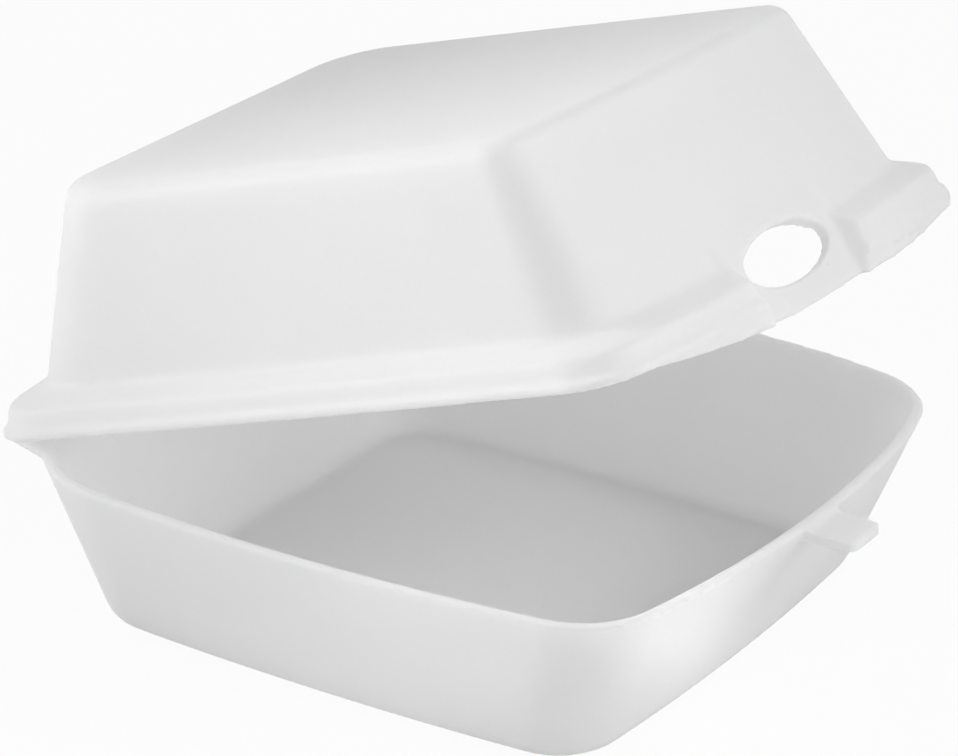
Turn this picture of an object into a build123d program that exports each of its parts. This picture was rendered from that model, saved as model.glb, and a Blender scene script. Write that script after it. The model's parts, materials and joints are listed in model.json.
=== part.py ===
from build123d import *
import os

# Foam clamshell container: a tray and a lid formed from one sheet, joined by a crushed crease at the back.
# Millimetres, +Z up. The origin is the middle of the tray's underside, and the front faces -Y.

# Sheet
sheet = 2.2                 # foam thickness after forming
running_gap = 0.15          # each half stays this far from the parting plane

# Tray, with distances from the origin to the corner lines before the sides bow out
rim_half = 60.3
rim_front = 63.5
rim_back = 66.5
rim_side_bow = 5.0
rim_front_bow = 7.0
rim_front_corner = 17.0
rim_back_corner = 28.0
tray_height = 33.45
floor_half = 50.2
floor_front = 51.8
floor_back = 52.3
floor_side_bow = 2.0
floor_front_bow = 2.0
floor_front_corner = 13.0
floor_back_corner = 11.0
floor_round = 6.0           # soft edge round the underside

# Lock tongue on the tray's front rim
tongue_width = 11.0
tongue_reach = 8.8          # beyond the rim
tongue_root = 4.0           # how far it runs back under the rim
tongue_step = 1.4           # its top lies this far below the rim's top
tongue_thickness = 2.0
tongue_corner = 2.0

# Hinge crease
hinge_y = 71.0
hinge_half = 51.0           # half the crease's length
hinge_land = 1.4            # thickness of the pressed land on each side of the crease
hinge_land_start = 44.0     # the lands run forward to here, inside the rounded back corners
hinge_land_spread = 59.0    # half their width there
hinge_land_gap = 0.3        # each land stops this far short of the crease line
hinge_land_corner = 5.0
web_inner = 0.2             # the crushed web wraps round the crease line between these radii
web_outer = 0.9
web_half = 46.0
open_angle = 16.3           # how far the lid stands open

# Lid, measured shut. Its rim lies in a plane that climbs a little from the crease to the front
rim_climb = 0.018           # rise for each millimetre forward
foot_half = 54.4            # foot of the wall, where the stepped rim starts
foot_front = 63.4
foot_back = 63.3
foot_side_bow = 1.0
foot_front_bow = 5.0
foot_front_corner = 11.0
foot_back_corner = 18.0
foot_height = 7.4           # above the rim plane
foot_round = 2.4
top_half = 47.6
top_front = 51.5
top_back = 50.2
top_side_bow = 0.3
top_front_bow = 1.5
top_front_corner = 6.0
top_back_corner = 13.5
lid_height = 42.3           # above the parting plane
top_round = 4.0

# Stepped rim of the lid: distances out from the foot of the wall, heights above the rim plane
rim_front_share = 1.18      # the front stands out this much further than the sides
rim_shoulder_corner = 14.0  # back corners of the steps, tighter than the wall's own
shoulder_out = 4.4
shoulder_height = 5.2
shoulder_round = 1.5
skirt_out = 5.2
skirt_height = 1.8
lip_out = 6.0
lip_height = 1.4

# Underside of the same steps, one sheet thickness inside
inner_foot_out = -1.9
inner_foot_height = 5.9
inner_foot_round = 2.0
inner_shoulder_out = 2.0
inner_shoulder_height = 3.9
inner_lip_out = 2.9
inner_lip_height = 0.9
inner_top_inset = 1.6
inner_top_round = 2.5

# Lock panel, where the front wall runs straight down through the stepped rim, and the droop of the front lip
panel_width = 31.0
panel_top = 15.0            # the panel starts this far above the parting plane
panel_depth = 20.0
panel_flare = -28.0         # draft of the step ends beside the panel
lock_hole_width = 25.0
lock_hole_height = 8.4
lock_hole_level = 7.8       # height of its middle
lip_droop = 1.25            # below the parting plane, at the middle of the front
droop_half = 48.0           # the droop fades out here
droop_inset = 0.4           # the drooping edge stands this far inside the lip's faces

# Derived
parting_height = tray_height + running_gap
land_end = hinge_y - hinge_land_gap
lid_front = foot_front + foot_front_bow
front_lip_height = running_gap + rim_climb * (hinge_y + lid_front)
front_foot_height = front_lip_height + foot_height
droop_end = parting_height + front_lip_height - running_gap
inner_rim_corner = rim_shoulder_corner - lip_out + inner_lip_out
wall_lean = (lid_front - top_front - top_front_bow) / (lid_height - front_foot_height)
hinge_axis = Axis((0, hinge_y, parting_height), (1, 0, 0))


def bowed_outline(half, front, back, side_bow, front_bow, front_corner, back_corner):
    """A rounded rectangle with bowed sides and front and a straight back."""
    middle = (back - front) / 2
    with BuildSketch() as outline:
        with BuildLine():
            ThreePointArc((-half, -front), (0, -front - front_bow), (half, -front))
            ThreePointArc((half, -front), (half + side_bow, middle), (half, back))
            Line((half, back), (-half, back))
            ThreePointArc((-half, back), (-half - side_bow, middle), (-half, -front))
        make_face()
        fillet(outline.vertices().group_by(Axis.Y)[0], front_corner)
        fillet(outline.vertices().group_by(Axis.Y)[-1], back_corner)
    return outline.sketch


def tray_outline(share, inset):
    """The tray's wall at a share of its height, 0 at the floor and 1 at the rim, moved in by inset."""
    def between(low, high):
        return low + (high - low) * share

    return bowed_outline(
        between(floor_half, rim_half) - inset,
        between(floor_front, rim_front) - inset,
        between(floor_back, rim_back) - inset,
        between(floor_side_bow, rim_side_bow),
        between(floor_front_bow, rim_front_bow),
        between(floor_front_corner, rim_front_corner) - inset,
        between(floor_back_corner, rim_back_corner) - inset,
    )


def rim_outline(out, back_corner):
    """The lid's stepped rim, at a distance out from the foot of its wall."""
    return bowed_outline(
        foot_half + out,
        foot_front + out * rim_front_share,
        foot_back + out,
        foot_side_bow,
        foot_front_bow,
        foot_front_corner,
        back_corner,
    )


def top_outline(inset):
    """The lid's flat top, moved in by inset."""
    return bowed_outline(
        top_half - inset,
        top_front - inset,
        top_back - inset,
        top_side_bow,
        top_front_bow,
        top_front_corner,
        top_back_corner - inset,
    )


def rim_plane(height):
    """The climbing plane of the lid's rim, moved up by a height."""
    middle = (0, 0, parting_height + running_gap + rim_climb * hinge_y)
    return Plane(origin=middle, x_dir=(1, 0, 0), z_dir=(0, rim_climb, 1)).offset(height)


def hinge_land_outline():
    """The pressed land beside the crease, which carries the rim out to it."""
    with BuildSketch() as land:
        with BuildLine():
            Polyline(
                (-hinge_half, land_end),
                (hinge_half, land_end),
                (hinge_land_spread, hinge_land_start),
                (-hinge_land_spread, hinge_land_start),
                close=True,
            )
        make_face()
        fillet(land.vertices().group_by(Axis.Y)[-1], hinge_land_corner)
    return land.sketch


def front_wall_plane(height, inward):
    """The plane of the lid's front wall, at a height on it and moved in by a distance."""
    out = lid_front + (front_foot_height - height) * wall_lean
    origin = (0, -out, parting_height + height)
    return Plane(origin=origin, x_dir=(1, 0, 0), z_dir=(0, -1, wall_lean)).offset(-inward)


def ring_in(part, plane):
    """The ring of edges that lies in one plane."""
    reach = 0.05
    return part.edges().filter_by_position(Axis(plane.origin, plane.z_dir), -reach, reach)


# Lower half: floor, tapered wall, rim, hinge land and lock tongue in one moulding
with BuildPart() as base_tray:
    with BuildSketch():
        add(tray_outline(0, 0))
    with BuildSketch(Plane.XY.offset(tray_height)):
        add(tray_outline(1, 0))
    loft(ruled=True)
    fillet(base_tray.faces().sort_by(Axis.Z)[0].edges(), floor_round)
    with BuildSketch(Plane.XY.offset(tray_height - hinge_land)):
        add(hinge_land_outline())
    extrude(amount=hinge_land)
    with BuildSketch(Plane.XY.offset(tray_height - tongue_step)) as tongue:
        with Locations((0, -rim_front - rim_front_bow - tongue_reach)):
            Rectangle(tongue_width, tongue_reach + tongue_root, align=(Align.CENTER, Align.MIN))
        fillet(tongue.vertices().group_by(Axis.Y)[0], tongue_corner)
    extrude(amount=-tongue_thickness)
    with BuildSketch(Plane.XY.offset(sheet)):
        add(tray_outline(sheet / tray_height, sheet))
    with BuildSketch(Plane.XY.offset(tray_height)):
        add(tray_outline(1, sheet))
    loft(ruled=True, mode=Mode.SUBTRACT)
    fillet(ring_in(base_tray, Plane.XY.offset(sheet)), floor_round - sheet)
base_tray.part.label = "base_tray"

# Hollow of the lid, one sheet inside its outer form, with the lock panel standing into it
lid_ceiling = Plane.XY.offset(parting_height + lid_height - sheet)
with BuildPart() as lid_hollow:
    with BuildSketch(rim_plane(-sheet)):
        add(rim_outline(inner_lip_out, inner_rim_corner))
    with BuildSketch(rim_plane(inner_lip_height)):
        add(rim_outline(inner_lip_out, inner_rim_corner))
    with BuildSketch(rim_plane(inner_shoulder_height)):
        add(rim_outline(inner_shoulder_out, inner_rim_corner))
    with BuildSketch(rim_plane(inner_foot_height)):
        add(rim_outline(inner_foot_out, foot_back_corner))
    with BuildSketch(lid_ceiling):
        add(top_outline(inner_top_inset))
    loft(ruled=True)
    fillet(ring_in(lid_hollow, lid_ceiling), inner_top_round)
    fillet(ring_in(lid_hollow, rim_plane(inner_foot_height)), inner_foot_round)
    with BuildSketch(front_wall_plane(panel_top, sheet)):
        Rectangle(panel_width + 2 * sheet, 2 * panel_depth, align=(Align.CENTER, Align.MAX))
    extrude(amount=panel_depth, taper=panel_flare, mode=Mode.SUBTRACT)

# Upper half, shut: flat top, tapered wall, stepped rim, drooping front lip, lock panel and hole
lid_top = Plane.XY.offset(parting_height + lid_height)
with BuildPart() as lid_shut:
    with BuildSketch(rim_plane(0)):
        add(rim_outline(lip_out, rim_shoulder_corner))
    with BuildSketch(rim_plane(lip_height)):
        add(rim_outline(lip_out, rim_shoulder_corner))
    with BuildSketch(rim_plane(skirt_height)):
        add(rim_outline(skirt_out, rim_shoulder_corner))
    with BuildSketch(rim_plane(shoulder_height)):
        add(rim_outline(shoulder_out, rim_shoulder_corner))
    with BuildSketch(rim_plane(foot_height)):
        add(rim_outline(0, foot_back_corner))
    with BuildSketch(lid_top):
        add(top_outline(0))
    loft(ruled=True)
    fillet(ring_in(lid_shut, lid_top), top_round)
    fillet(ring_in(lid_shut, rim_plane(foot_height)), foot_round)
    fillet(ring_in(lid_shut, rim_plane(shoulder_height)), shoulder_round)
    with BuildSketch(Plane.XY.offset(parting_height - lip_droop)):
        add(rim_outline(lip_out - droop_inset, rim_shoulder_corner))
        add(rim_outline(inner_lip_out + droop_inset, inner_rim_corner), mode=Mode.SUBTRACT)
        with Locations((0, -rim_front)):
            Rectangle(2 * droop_half, rim_front, mode=Mode.INTERSECT)
    extrude(amount=lip_droop + front_lip_height + lip_height / 2)
    with BuildSketch(front_wall_plane(panel_top, sheet)):
        Rectangle(panel_width + 2 * sheet, panel_depth, align=(Align.CENTER, Align.MAX))
    extrude(amount=sheet)
    with BuildSketch(Plane.XZ):
        with BuildLine():
            Polyline(
                (droop_half, droop_end),
                (droop_half, 0),
                (-droop_half, 0),
                (-droop_half, droop_end),
            )
            ThreePointArc(
                (-droop_half, droop_end),
                (0, parting_height - lip_droop),
                (droop_half, droop_end),
            )
        make_face()
    extrude(amount=2 * rim_front, mode=Mode.SUBTRACT)
    with BuildSketch(Plane.XY.offset(parting_height + running_gap)):
        add(hinge_land_outline())
    extrude(amount=hinge_land)
    add(lid_hollow.part, mode=Mode.SUBTRACT)
    with BuildSketch(front_wall_plane(panel_top, 0)):
        Rectangle(panel_width, 2 * panel_depth, align=(Align.CENTER, Align.MAX))
    extrude(amount=panel_depth, taper=panel_flare, mode=Mode.SUBTRACT)
    with BuildSketch(front_wall_plane(lock_hole_level, 0)):
        Ellipse(lock_hole_width / 2, lock_hole_height / 2)
    extrude(amount=panel_depth, both=True, mode=Mode.SUBTRACT)

# Crushed web of the crease, bent from the tray's land up to the lid's
with BuildPart() as hinge_web:
    with BuildSketch(Plane(origin=(0, hinge_y, parting_height), x_dir=(0, 1, 0), z_dir=(1, 0, 0))):
        with BuildLine():
            outside = CenterArc((0, 0), web_outer, -90, 180 - open_angle)
            inside = CenterArc((0, 0), web_inner, -90, 180 - open_angle)
            Line(outside @ 1, inside @ 1)
            Polyline(
                outside @ 0,
                (-hinge_land_gap, -web_outer),
                (-hinge_land_gap, -web_inner),
                inside @ 0,
            )
        make_face()
    extrude(amount=web_half, both=True)
hinge_web.part.label = "hinge_web"

# The lid as it stands, part open
with BuildPart() as lid:
    add(lid_shut.part.rotate(hinge_axis, -open_angle))
lid.part.label = "lid"

os.makedirs("parts", exist_ok=True)
export_step(base_tray.part, "parts/base_tray.step")
export_step(lid.part, "parts/lid.step")
export_step(hinge_web.part, "parts/hinge_web.step")
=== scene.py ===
import json
import math

import bpy
import numpy as np
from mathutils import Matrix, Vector


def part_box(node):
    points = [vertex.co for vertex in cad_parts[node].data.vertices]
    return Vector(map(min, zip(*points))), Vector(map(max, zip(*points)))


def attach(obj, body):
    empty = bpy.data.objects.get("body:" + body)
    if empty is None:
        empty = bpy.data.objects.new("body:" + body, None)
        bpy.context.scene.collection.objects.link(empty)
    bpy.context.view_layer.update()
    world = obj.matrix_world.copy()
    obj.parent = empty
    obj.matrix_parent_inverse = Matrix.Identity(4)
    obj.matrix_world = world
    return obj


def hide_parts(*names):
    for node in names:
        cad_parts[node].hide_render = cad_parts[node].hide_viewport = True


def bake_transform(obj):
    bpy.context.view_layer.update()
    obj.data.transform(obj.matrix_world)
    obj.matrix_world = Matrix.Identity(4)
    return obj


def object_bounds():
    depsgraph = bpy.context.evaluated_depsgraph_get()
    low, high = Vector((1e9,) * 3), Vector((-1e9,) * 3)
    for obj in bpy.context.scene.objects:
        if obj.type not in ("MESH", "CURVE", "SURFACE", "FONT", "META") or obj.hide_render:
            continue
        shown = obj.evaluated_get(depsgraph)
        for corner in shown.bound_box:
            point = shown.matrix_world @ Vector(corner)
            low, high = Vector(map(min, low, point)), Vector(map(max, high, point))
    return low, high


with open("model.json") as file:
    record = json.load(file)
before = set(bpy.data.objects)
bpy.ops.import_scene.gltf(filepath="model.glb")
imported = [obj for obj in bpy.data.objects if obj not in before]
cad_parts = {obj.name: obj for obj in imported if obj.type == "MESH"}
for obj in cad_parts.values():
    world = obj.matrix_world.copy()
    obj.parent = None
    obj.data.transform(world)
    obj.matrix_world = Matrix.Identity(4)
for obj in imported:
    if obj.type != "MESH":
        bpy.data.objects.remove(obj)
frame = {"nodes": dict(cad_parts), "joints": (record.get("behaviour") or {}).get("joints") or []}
cad_low, cad_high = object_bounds()

# Tray
# The lower half of the box, thermoformed in one stroke with the lid from a sheet of extruded
# polystyrene foam. Forming leaves no sharp edge anywhere, and the trimmed rim is a plain cut.
MM = 0.001
TRAY_CELL = 0.55 * MM           # spacing of the mesh that is worked on
TRAY_SMOOTHING = 5              # rounds of smoothing, which soften the trimmed edges
MOST_TRIANGLES = 190000         # of one piece, after thinning
FAR_CORNER_EASE = 2.4 * MM      # the far front corner is pressed in a little at the rim
FAR_CORNER_SPREAD = 34 * MM
FAR_CORNER_SETBACK = 12 * MM    # its middle lies this far behind the tongue's tip
FAR_CORNER_SLANT = 0.7          # it goes in along the diagonal


def linear(hex_colour):
    """An sRGB hex colour as linear red, green, blue and alpha."""
    def channel(start):
        share = int(hex_colour[start:start + 2], 16) / 255
        return share / 12.92 if share <= 0.04045 else ((share + 0.055) / 1.055) ** 2.4

    return channel(1), channel(3), channel(5), 1.0


def add_node(tree, kind, inputs, **settings):
    """Adds a node, applies its settings, and sets or links its inputs."""
    made = tree.nodes.new(kind)
    for name, value in settings.items():
        setattr(made, name, value)
    for name, value in inputs.items():
        if isinstance(value, bpy.types.NodeSocket):
            tree.links.new(value, made.inputs[name])
        else:
            made.inputs[name].default_value = value
    return made


def extruded_polystyrene_foam():
    """White foam sheet: closed cells under a satin skin, thin enough for some light to pass through."""
    foam = bpy.data.materials.new("extruded_polystyrene_foam")
    foam.use_nodes = True
    tree = foam.node_tree
    tree.nodes.clear()
    place = add_node(tree, "ShaderNodeTexCoord", {}).outputs["Object"]

    # Real cells are too fine to show at this scale, so they are drawn larger, about 0.9 mm across
    cell_width = 0.9 * MM
    cells = add_node(tree, "ShaderNodeTexVoronoi", {"Vector": place, "Scale": 1 / cell_width})
    # Stretching over the mould thins the skin in soft patches about 14 mm across
    patch_width = 14 * MM
    patches = add_node(tree, "ShaderNodeTexNoise", {
        "Vector": place, "Scale": 1 / patch_width, "Detail": 2.0, "Roughness": 0.55})
    # The cooled skin is slightly wavy, like fine orange peel, about 3 mm across
    peel_width = 3 * MM
    peel = add_node(tree, "ShaderNodeTexNoise", {"Vector": place, "Scale": 1 / peel_width, "Detail": 1.0})

    tone = add_node(tree, "ShaderNodeMix", {
        "Factor": patches.outputs["Fac"], 6: linear("#F5F5F5"), 7: linear("#FAFAFA")}, data_type="RGBA")
    grain = add_node(tree, "ShaderNodeMapRange", {
        "Value": cells.outputs["Distance"], "To Min": 1.0, "To Max": 0.965})
    speckled = add_node(tree, "ShaderNodeMix", {
        "Factor": 1.0, 6: tone.outputs[2], 7: grain.outputs["Result"],
    }, data_type="RGBA", blend_type="MULTIPLY")
    gloss = add_node(tree, "ShaderNodeMapRange", {
        "Value": patches.outputs["Fac"], "From Min": 0.3, "From Max": 0.7, "To Min": 0.5, "To Max": 0.62})

    wavy = add_node(tree, "ShaderNodeBump", {
        "Height": peel.outputs["Fac"], "Strength": 0.35, "Distance": 0.12 * MM})
    skin = add_node(tree, "ShaderNodeBsdfPrincipled", {
        "Base Color": speckled.outputs[2],
        "Roughness": gloss.outputs["Result"],
        "IOR": 1.5,
        "Specular IOR Level": 0.4,
        "Normal": wavy.outputs["Normal"],
    })
    # The sheet is about 2 mm thick and milky, so light on one side also shows on the other. The share is
    #  set so that the inside of the tray isn't too dark
    passing_light = 0.56
    milky = add_node(tree, "ShaderNodeBsdfTranslucent", {
        "Color": linear("#FBFBFB"), "Normal": wavy.outputs["Normal"]})
    sheet = add_node(tree, "ShaderNodeMixShader", {
        0: passing_light, 1: skin.outputs["BSDF"], 2: milky.outputs["BSDF"]})
    add_node(tree, "ShaderNodeOutputMaterial", {"Surface": sheet.outputs["Shader"]})
    return foam


def reworked_copy(node_name, piece_name, cell, smoothing):
    """A copy of a CAD node, merged, meshed evenly, smoothed so that its edges go soft, and thinned."""
    piece = bpy.data.objects.new(piece_name, frame["nodes"][node_name].data.copy())
    bpy.context.scene.collection.objects.link(piece)
    bpy.ops.object.select_all(action="DESELECT")
    piece.select_set(True)
    bpy.context.view_layer.objects.active = piece
    bpy.ops.object.mode_set(mode="EDIT")
    bpy.ops.mesh.select_all(action="SELECT")
    bpy.ops.mesh.remove_doubles(threshold=0.001 * MM)
    bpy.ops.object.mode_set(mode="OBJECT")
    remesh = piece.modifiers.new("even mesh", "REMESH")
    remesh.mode = "VOXEL"
    remesh.voxel_size = cell
    remesh.use_smooth_shade = True
    bpy.ops.object.modifier_apply(modifier=remesh.name)
    smooth = piece.modifiers.new("soft edges", "SMOOTH")
    smooth.factor = 0.5
    smooth.iterations = smoothing
    bpy.ops.object.modifier_apply(modifier=smooth.name)
    thin = piece.modifiers.new("fewer faces on the flats", "DECIMATE")
    thin.ratio = min(1.0, MOST_TRIANGLES / (2 * len(piece.data.polygons)))
    bpy.ops.object.modifier_apply(modifier=thin.name)
    return piece


def points_of(piece):
    """The piece's vertices, one row each."""
    points = np.empty(3 * len(piece.data.vertices))
    piece.data.vertices.foreach_get("co", points)
    return points.reshape(-1, 3)


def move_points(piece, points):
    """Gives the piece's vertices new places."""
    piece.data.vertices.foreach_set("co", points.ravel())
    piece.data.update()


def fade(values, start, end):
    """0 at start and 1 at end, easing in and out between them."""
    share = np.clip((values - start) / (end - start), 0, 1)
    return share * share * (3 - 2 * share)


foam = extruded_polystyrene_foam()
tray = reworked_copy("base_tray", "foam_tray", TRAY_CELL, TRAY_SMOOTHING)
tray_low, tray_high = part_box("base_tray")
points = points_of(tray)
reach = np.hypot(points[:, 0] - tray_high.x, points[:, 1] - tray_low.y - FAR_CORNER_SETBACK)
ease = FAR_CORNER_EASE * fade(reach, FAR_CORNER_SPREAD, 0) * fade(points[:, 2], 0, tray_high.z)
points[:, 0] -= ease * FAR_CORNER_SLANT
points[:, 1] += ease * FAR_CORNER_SLANT
move_points(tray, points)
tray.data.materials.clear()
tray.data.materials.append(foam)
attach(tray, "base")
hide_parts("base_tray")

# Lid
# The upper half of the same sheet: a deep tapered cover with a stepped rim, a drooping front lip and
# an oval lock hole. The thin rim springs out of true, so its free front corners stand at uneven heights.
LID_CELL = 0.55 * MM
LID_SMOOTHING = 5
LID_TWIST = 3.4 * MM            # height difference of the front corners, left above right
LIP_SAG = 2.4 * MM              # the right half of the front lip hangs lower by up to this
HOLE_HALF_WIDTH = 12.5 * MM     # the solid's lock hole
HOLE_HALF_HEIGHT = 4.2 * MM
HOLE_RISE = 7.8 * MM            # height of its middle above the crease, shut
HOLE_PRESS = 0.9 * MM           # the hole is opened by this all round, to the size that shows
hinge = next(joint for joint in frame["joints"] if joint["name"] == "lid_hinge")
hinge_place = np.array(hinge["pos_m"])
open_angle = math.radians(-hinge["range_deg"][0])


def turned_about_crease(points, angle):
    """Points turned about the crease, opening the lid by a positive angle."""
    out = points - hinge_place
    turned = out.copy()
    turned[:, 1] = out[:, 1] * math.cos(angle) + out[:, 2] * math.sin(angle)
    turned[:, 2] = out[:, 2] * math.cos(angle) - out[:, 1] * math.sin(angle)
    return turned + hinge_place


lid = reworked_copy("lid", "foam_lid", LID_CELL, LID_SMOOTHING)
shut = turned_about_crease(points_of(lid), -open_angle)
lid_low, lid_high = shut.min(axis=0), shut.max(axis=0)
across = shut[:, 0] / lid_high[0]
forward = (hinge_place[1] - shut[:, 1]) / (hinge_place[1] - lid_low[1])
rise = shut[:, 2] - hinge_place[2]

# The lock hole's edge moves out, and the wall round it follows less and less
hole_x, hole_z = shut[:, 0] / HOLE_HALF_WIDTH, (rise - HOLE_RISE) / HOLE_HALF_HEIGHT
ring = np.maximum(np.hypot(hole_x, hole_z), 0.1)
press = HOLE_PRESS * fade(ring, 1.9, 1.15) * fade(forward, 0.80, 0.88)
shut[:, 0] += press * hole_x / ring
shut[:, 2] += press * hole_z / ring

# The rim twists about its middle, and the right half of the front lip sags, except at its very end
lip_share = fade(rise, 7 * MM, 2.5 * MM) * fade(forward, 0.78, 0.92)
shut[:, 2] -= LID_TWIST / 2 * across * forward
shut[:, 2] -= LIP_SAG * fade(across, 0.1, 0.75) * fade(across, 1.0, 0.86) * lip_share
move_points(lid, turned_about_crease(shut, open_angle))

# The flat lock panel runs out into the bowed wall at its upper corners without a crease
side = np.abs(shut[:, 0])
weights = fade(rise, 9 * MM, 11 * MM) * fade(rise, 24 * MM, 20 * MM) * fade(forward, 0.80, 0.86)
weights *= fade(side, 11 * MM, 14 * MM) * fade(side, 30 * MM, 26 * MM)
corners = lid.vertex_groups.new(name="panel corners")
for index in np.flatnonzero(weights > 0.02):
    corners.add([int(index)], float(weights[index]), "REPLACE")
soften = lid.modifiers.new("soft panel corners", "SMOOTH")
soften.vertex_group = corners.name
soften.factor = 0.5
soften.iterations = 20
bpy.ops.object.modifier_apply(modifier=soften.name)
lid.vertex_groups.clear()
lid.data.materials.clear()
lid.data.materials.append(foam)
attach(lid, "lid")
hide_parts("lid")

# Hinge crease
# The sheet itself, crushed thin by a bar in the mould along the back so that it bends there. It wraps
# from the tray's land round the crease line to the lid's land.
CREASE_RADIUS = 0.55 * MM
CREASE_THICKNESS = 0.7 * MM
CREASE_STEPS = 12               # round the bend
CREASE_COLUMNS = 92             # along the crease
CRUSH_MARKS = 31                # faint ripples that the bar leaves along it
CRUSH_DEPTH = 0.06              # as a share of the radius
web_low, web_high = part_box("hinge_web")
bpy.ops.object.select_all(action="DESELECT")
bpy.ops.mesh.primitive_grid_add(x_subdivisions=CREASE_COLUMNS, y_subdivisions=CREASE_STEPS, size=1)
crease = bpy.context.object
crease.name = "hinge_crease"
points = points_of(crease)
turn = math.radians(-90) + (math.pi - open_angle) * (points[:, 1] + 0.5)
crush = 1 + CRUSH_DEPTH * np.sin(points[:, 0] * 2 * math.pi * CRUSH_MARKS)
points = np.column_stack((
    points[:, 0] * (web_high.x - web_low.x),
    hinge_place[1] + CREASE_RADIUS * crush * np.cos(turn),
    hinge_place[2] + CREASE_RADIUS * crush * np.sin(turn),
))
move_points(crease, points)
wall = crease.modifiers.new("crushed sheet", "SOLIDIFY")
wall.thickness = CREASE_THICKNESS
wall.offset = 0
bpy.ops.object.modifier_apply(modifier=wall.name)
bpy.ops.object.shade_smooth_by_angle(angle=math.radians(40))
crease.data.materials.append(foam)
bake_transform(crease)
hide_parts("hinge_web")

# Floor
# A plain sheet of white studio paper, lying flat under the box. The camera sees it almost white, with
# the box's soft shadow left in it.
FLOOR_SIZE = 6.0
FLOOR_GLOW = 0.92               # share of the floor's white that the shadow doesn't darken


def seen_directly(tree):
    """1 for rays that look at the backdrop, clear or mirrored ones too, 0 for those that light the foam."""
    ray = add_node(tree, "ShaderNodeLightPath", {}).outputs
    seen = add_node(tree, "ShaderNodeMath", {
        0: ray["Is Camera Ray"], 1: ray["Is Glossy Ray"]}, operation="MAXIMUM")
    seen = add_node(tree, "ShaderNodeMath", {
        0: seen.outputs[0], 1: ray["Is Transmission Ray"]}, operation="MAXIMUM")
    return add_node(tree, "ShaderNodeMath", {
        0: seen.outputs[0], 1: ray["Is Diffuse Ray"]}, operation="SUBTRACT", use_clamp=True).outputs[0]


bpy.ops.object.select_all(action="DESELECT")
bpy.ops.mesh.primitive_plane_add(size=FLOOR_SIZE, location=(0, 0, cad_low.z))
floor = bpy.context.object
floor.name = "floor"
paper = bpy.data.materials.new("white_studio_paper")
paper.use_nodes = True
tree = paper.node_tree
tree.nodes.clear()
glow_share = add_node(tree, "ShaderNodeMath", {0: seen_directly(tree), 1: FLOOR_GLOW}, operation="MULTIPLY")
matte = add_node(tree, "ShaderNodeBsdfDiffuse", {"Color": linear("#F4F4F4")})
white = add_node(tree, "ShaderNodeEmission", {"Color": linear("#FFFFFF"), "Strength": 1.0})
mixed = add_node(tree, "ShaderNodeMixShader", {
    0: glow_share.outputs[0], 1: matte.outputs["BSDF"], 2: white.outputs["Emission"]})
add_node(tree, "ShaderNodeOutputMaterial", {"Surface": mixed.outputs["Shader"]})
floor.data.materials.append(paper)

# Light
# A pale room gives most of the light. One soft box grazes the left wall from behind and another lights the
# front wall, so that the near corner between them stays a little darker. A low one looks into the tray.
ROOM_LIGHT = 0.64
world = bpy.data.worlds.new("pale_room")
world.use_nodes = True
bpy.context.scene.world = world
tree = world.node_tree
tree.nodes.clear()
room = add_node(tree, "ShaderNodeBackground", {"Color": linear("#FFFFFF"), "Strength": ROOM_LIGHT})
backdrop = add_node(tree, "ShaderNodeBackground", {"Color": linear("#FFFFFF"), "Strength": 1.0})
mixed = add_node(tree, "ShaderNodeMixShader", {
    0: seen_directly(tree), 1: room.outputs["Background"], 2: backdrop.outputs["Background"]})
add_node(tree, "ShaderNodeOutputWorld", {"Surface": mixed.outputs["Shader"]})


def soft_box(name, place, aim, width, power, spread):
    """A square soft light at a place, aimed at a point. A spread under 180 degrees narrows its beam."""
    lamp = bpy.data.lights.new(name, "AREA")
    lamp.shape = "SQUARE"
    lamp.size = width
    lamp.energy = power
    lamp.spread = math.radians(spread)
    holder = bpy.data.objects.new(name, lamp)
    holder.location = place
    holder.rotation_euler = (Vector(aim) - Vector(place)).to_track_quat("-Z", "Y").to_euler()
    bpy.context.scene.collection.objects.link(holder)


soft_box(
    "left_soft_box", place=(-0.31, 0.471, 0.24), aim=(-0.056, -0.05, 0.085),
    width=0.16, power=0.085, spread=24)
soft_box(
    "front_soft_box", place=(0.217, -0.501, 0.412), aim=(-0.035, -0.065, 0.085),
    width=0.16, power=0.04, spread=28)
soft_box(
    "low_soft_box", place=(0.059, -0.67, 0.243), aim=(0.0, 0.0, 0.05),
    width=0.35, power=0.7, spread=180)

# Camera
# A long lens at the photograph's angle, a little above the box and to the left of its front. Its place
# and length come from a fit to the photograph's outlines.
AZIMUTH = math.radians(-56.78)
ELEVATION = math.radians(23.65)
DISTANCE = 716.95 * MM
TARGET = Vector((-0.22, 0.80, 42.21)) * MM
IMAGE_WIDTH = 958
FOCAL_PIXELS = 3952.5
camera = bpy.data.cameras.new("camera")
camera.sensor_width = 36.0
camera.sensor_fit = "HORIZONTAL"
camera.lens = FOCAL_PIXELS / IMAGE_WIDTH * camera.sensor_width
back = Vector((
    math.sin(AZIMUTH) * math.cos(ELEVATION),
    -math.cos(AZIMUTH) * math.cos(ELEVATION),
    math.sin(ELEVATION),
))
eye = bpy.data.objects.new("camera", camera)
eye.location = TARGET + back * DISTANCE
eye.rotation_euler = (-back).to_track_quat("-Z", "Y").to_euler()
bpy.context.scene.collection.objects.link(eye)
bpy.context.scene.camera = eye
bpy.context.scene.view_settings.view_transform = "Standard"
